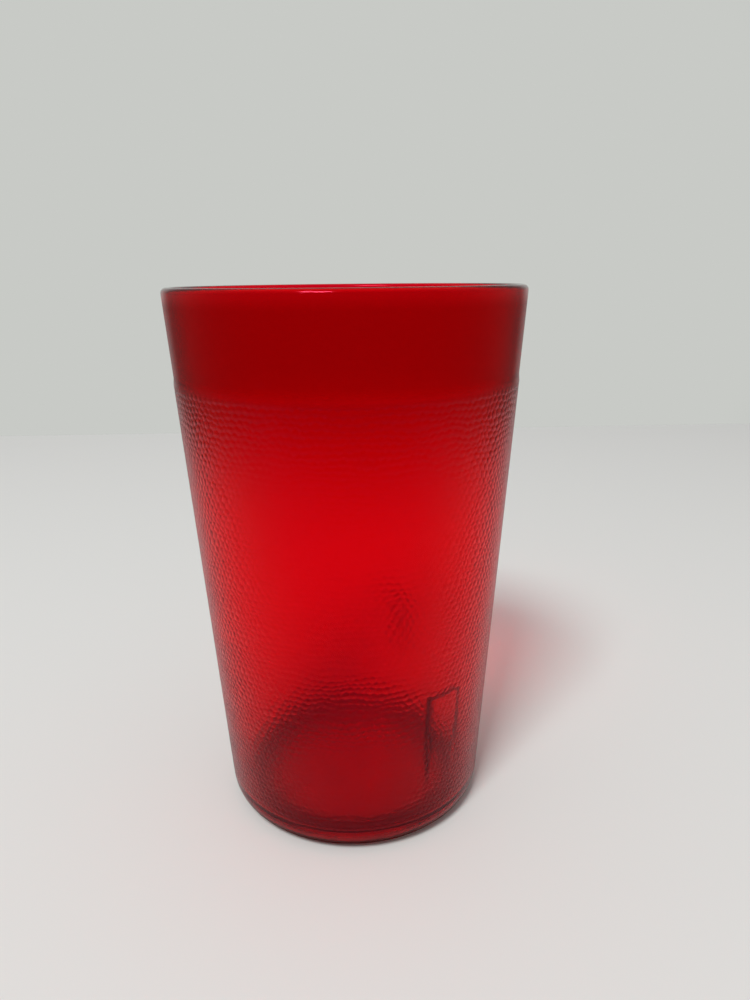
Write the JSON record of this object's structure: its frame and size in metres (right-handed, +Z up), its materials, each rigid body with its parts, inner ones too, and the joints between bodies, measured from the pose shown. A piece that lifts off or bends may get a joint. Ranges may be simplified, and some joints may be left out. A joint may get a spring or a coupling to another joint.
{
  "type": "plastic cup",
  "caption": "Tapered drinking tumbler of clear red plastic, with a round lip, a smooth band above a pebble-grained wall, stacking lugs inside and a recessed foot.",
  "frame": {"origin": "centre of the foot, on the table that the cup stands on", "axes": "+Z up along the cup's axis, towards the mouth; -Y towards the viewer of the picture"},
  "size_m": [0.072, 0.072, 0.113],
  "materials": {
    "clear_red_plastic": "clear red, gloss on the lip, the band and the inside, pebble grain on the outside wall"
  },
  "bodies": {
    "root": {"tumbler": "clear_red_plastic"}
  },
  "joints": []
}
